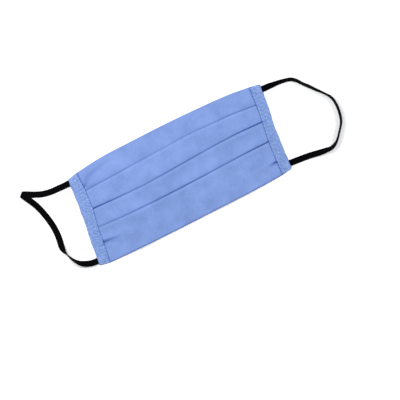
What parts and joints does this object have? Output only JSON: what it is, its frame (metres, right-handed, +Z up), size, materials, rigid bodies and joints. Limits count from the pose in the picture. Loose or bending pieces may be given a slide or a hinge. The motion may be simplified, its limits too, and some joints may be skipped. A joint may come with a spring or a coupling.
{
  "type": "pleated cloth face mask",
  "caption": "Reusable cloth face mask lying flat: a pleated cotton panel with sewn side hems and a flat elastic ear loop at each side.",
  "frame": {"origin": "on the surface that the mask lies on, under the middle of the cloth (body and hems, without the ear loops)", "axes": "+X along the mask towards its right hem, +Y towards its top edge, +Z up out of its front"},
  "size_m": [0.2925, 0.092, 0.0054],
  "materials": {
    "cotton_cloth": "matte plain-weave cotton, periwinkle blue",
    "sewn_hem": "the same cotton, folded over and stitched with light blue thread",
    "flat_elastic": "black braided flat elastic with fine lengthwise ribs"
  },
  "bodies": {
    "root": {"mask_body": "cotton_cloth", "side_hem_left": "sewn_hem", "side_hem_right": "sewn_hem", "ear_loop_left": "flat_elastic", "ear_loop_right": "flat_elastic"}
  },
  "joints": []
}
